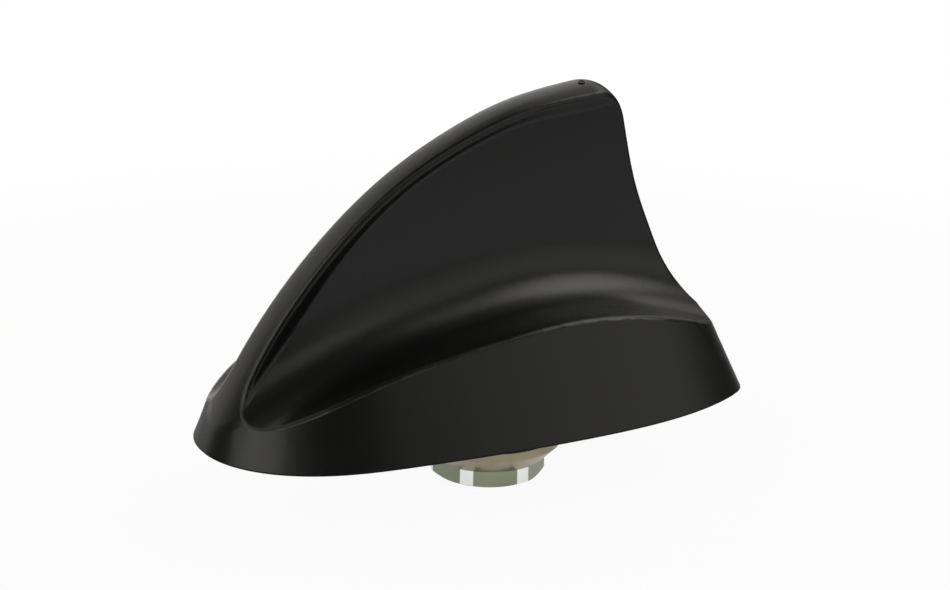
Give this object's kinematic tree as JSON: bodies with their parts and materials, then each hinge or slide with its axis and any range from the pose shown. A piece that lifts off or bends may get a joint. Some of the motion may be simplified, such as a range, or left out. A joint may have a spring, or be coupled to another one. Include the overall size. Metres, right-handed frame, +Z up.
{
  "type": "shark fin aerial",
  "caption": "Fin-shaped roof aerial: moulded cover with a flared skirt on a rim seal, cast base with a threaded stub, clamped to a car roof by a flange nut, with its amplifier board inside.",
  "frame": {"origin": "axis of the stub where it passes the roof plane, which is the underside of the rim seal", "axes": "+Z up from the roof, -X towards the nose, +X towards the tail, Y across; the middle plane of the fin is y = 0"},
  "size_m": [0.1624, 0.086, 0.1118],
  "materials": {
    "cover_black": "satin black moulded plastic",
    "seal_rubber": "matte black rubber",
    "nut_nickel": "plated, slightly warm grey",
    "base_alloy": "die cast, as cast",
    "screw_steel": "zinc plated",
    "board_green": "glass laminate with green resist",
    "can_tin": "tinned sheet",
    "chip_black": "matte",
    "filter_grey": "metallised ceramic",
    "patch_ceramic": "fired ceramic",
    "tape_grey": "closed-cell foam",
    "patch_silver": "fired silver",
    "trace_copper": "bare copper",
    "holder_white": "moulded nylon",
    "socket_gold": "gold plated"
  },
  "bodies": {
    "root": {"amplifier_board": "board_green", "amplifier_chip_1": "chip_black", "amplifier_chip_2": "chip_black", "base_plate": "base_alloy", "board_screw_1": "screw_steel", "board_screw_2": "screw_steel", "board_screw_3": "screw_steel", "board_screw_4": "screw_steel", "cable_grommet": "seal_rubber", "coax_socket_1": "socket_gold", "coax_socket_2": "socket_gold", "coax_socket_3": "socket_gold", "contact_clip": "can_tin", "cover_screw_1": "screw_steel", "cover_screw_2": "screw_steel", "cover_screw_3": "screw_steel", "cover_screw_4": "screw_steel", "cover_screw_5": "screw_steel", "cover_screw_6": "screw_steel", "filter_block_1": "filter_grey", "filter_block_2": "filter_grey", "filter_block_3": "filter_grey", "fin_cover": "cover_black", "fin_radiator": "board_green", "flange_nut": "nut_nickel", "foam_pad": "tape_grey", "gps_patch": "patch_ceramic", "patch_electrode": "patch_silver", "patch_feed": "patch_silver", "patch_pad": "tape_grey", "radiator_bracket": "holder_white", "radiator_trace": "trace_copper", "rim_seal": "seal_rubber", "shield_frame": "can_tin", "shield_lid": "can_tin", "stub_seal": "seal_rubber"}
  },
  "joints": []
}
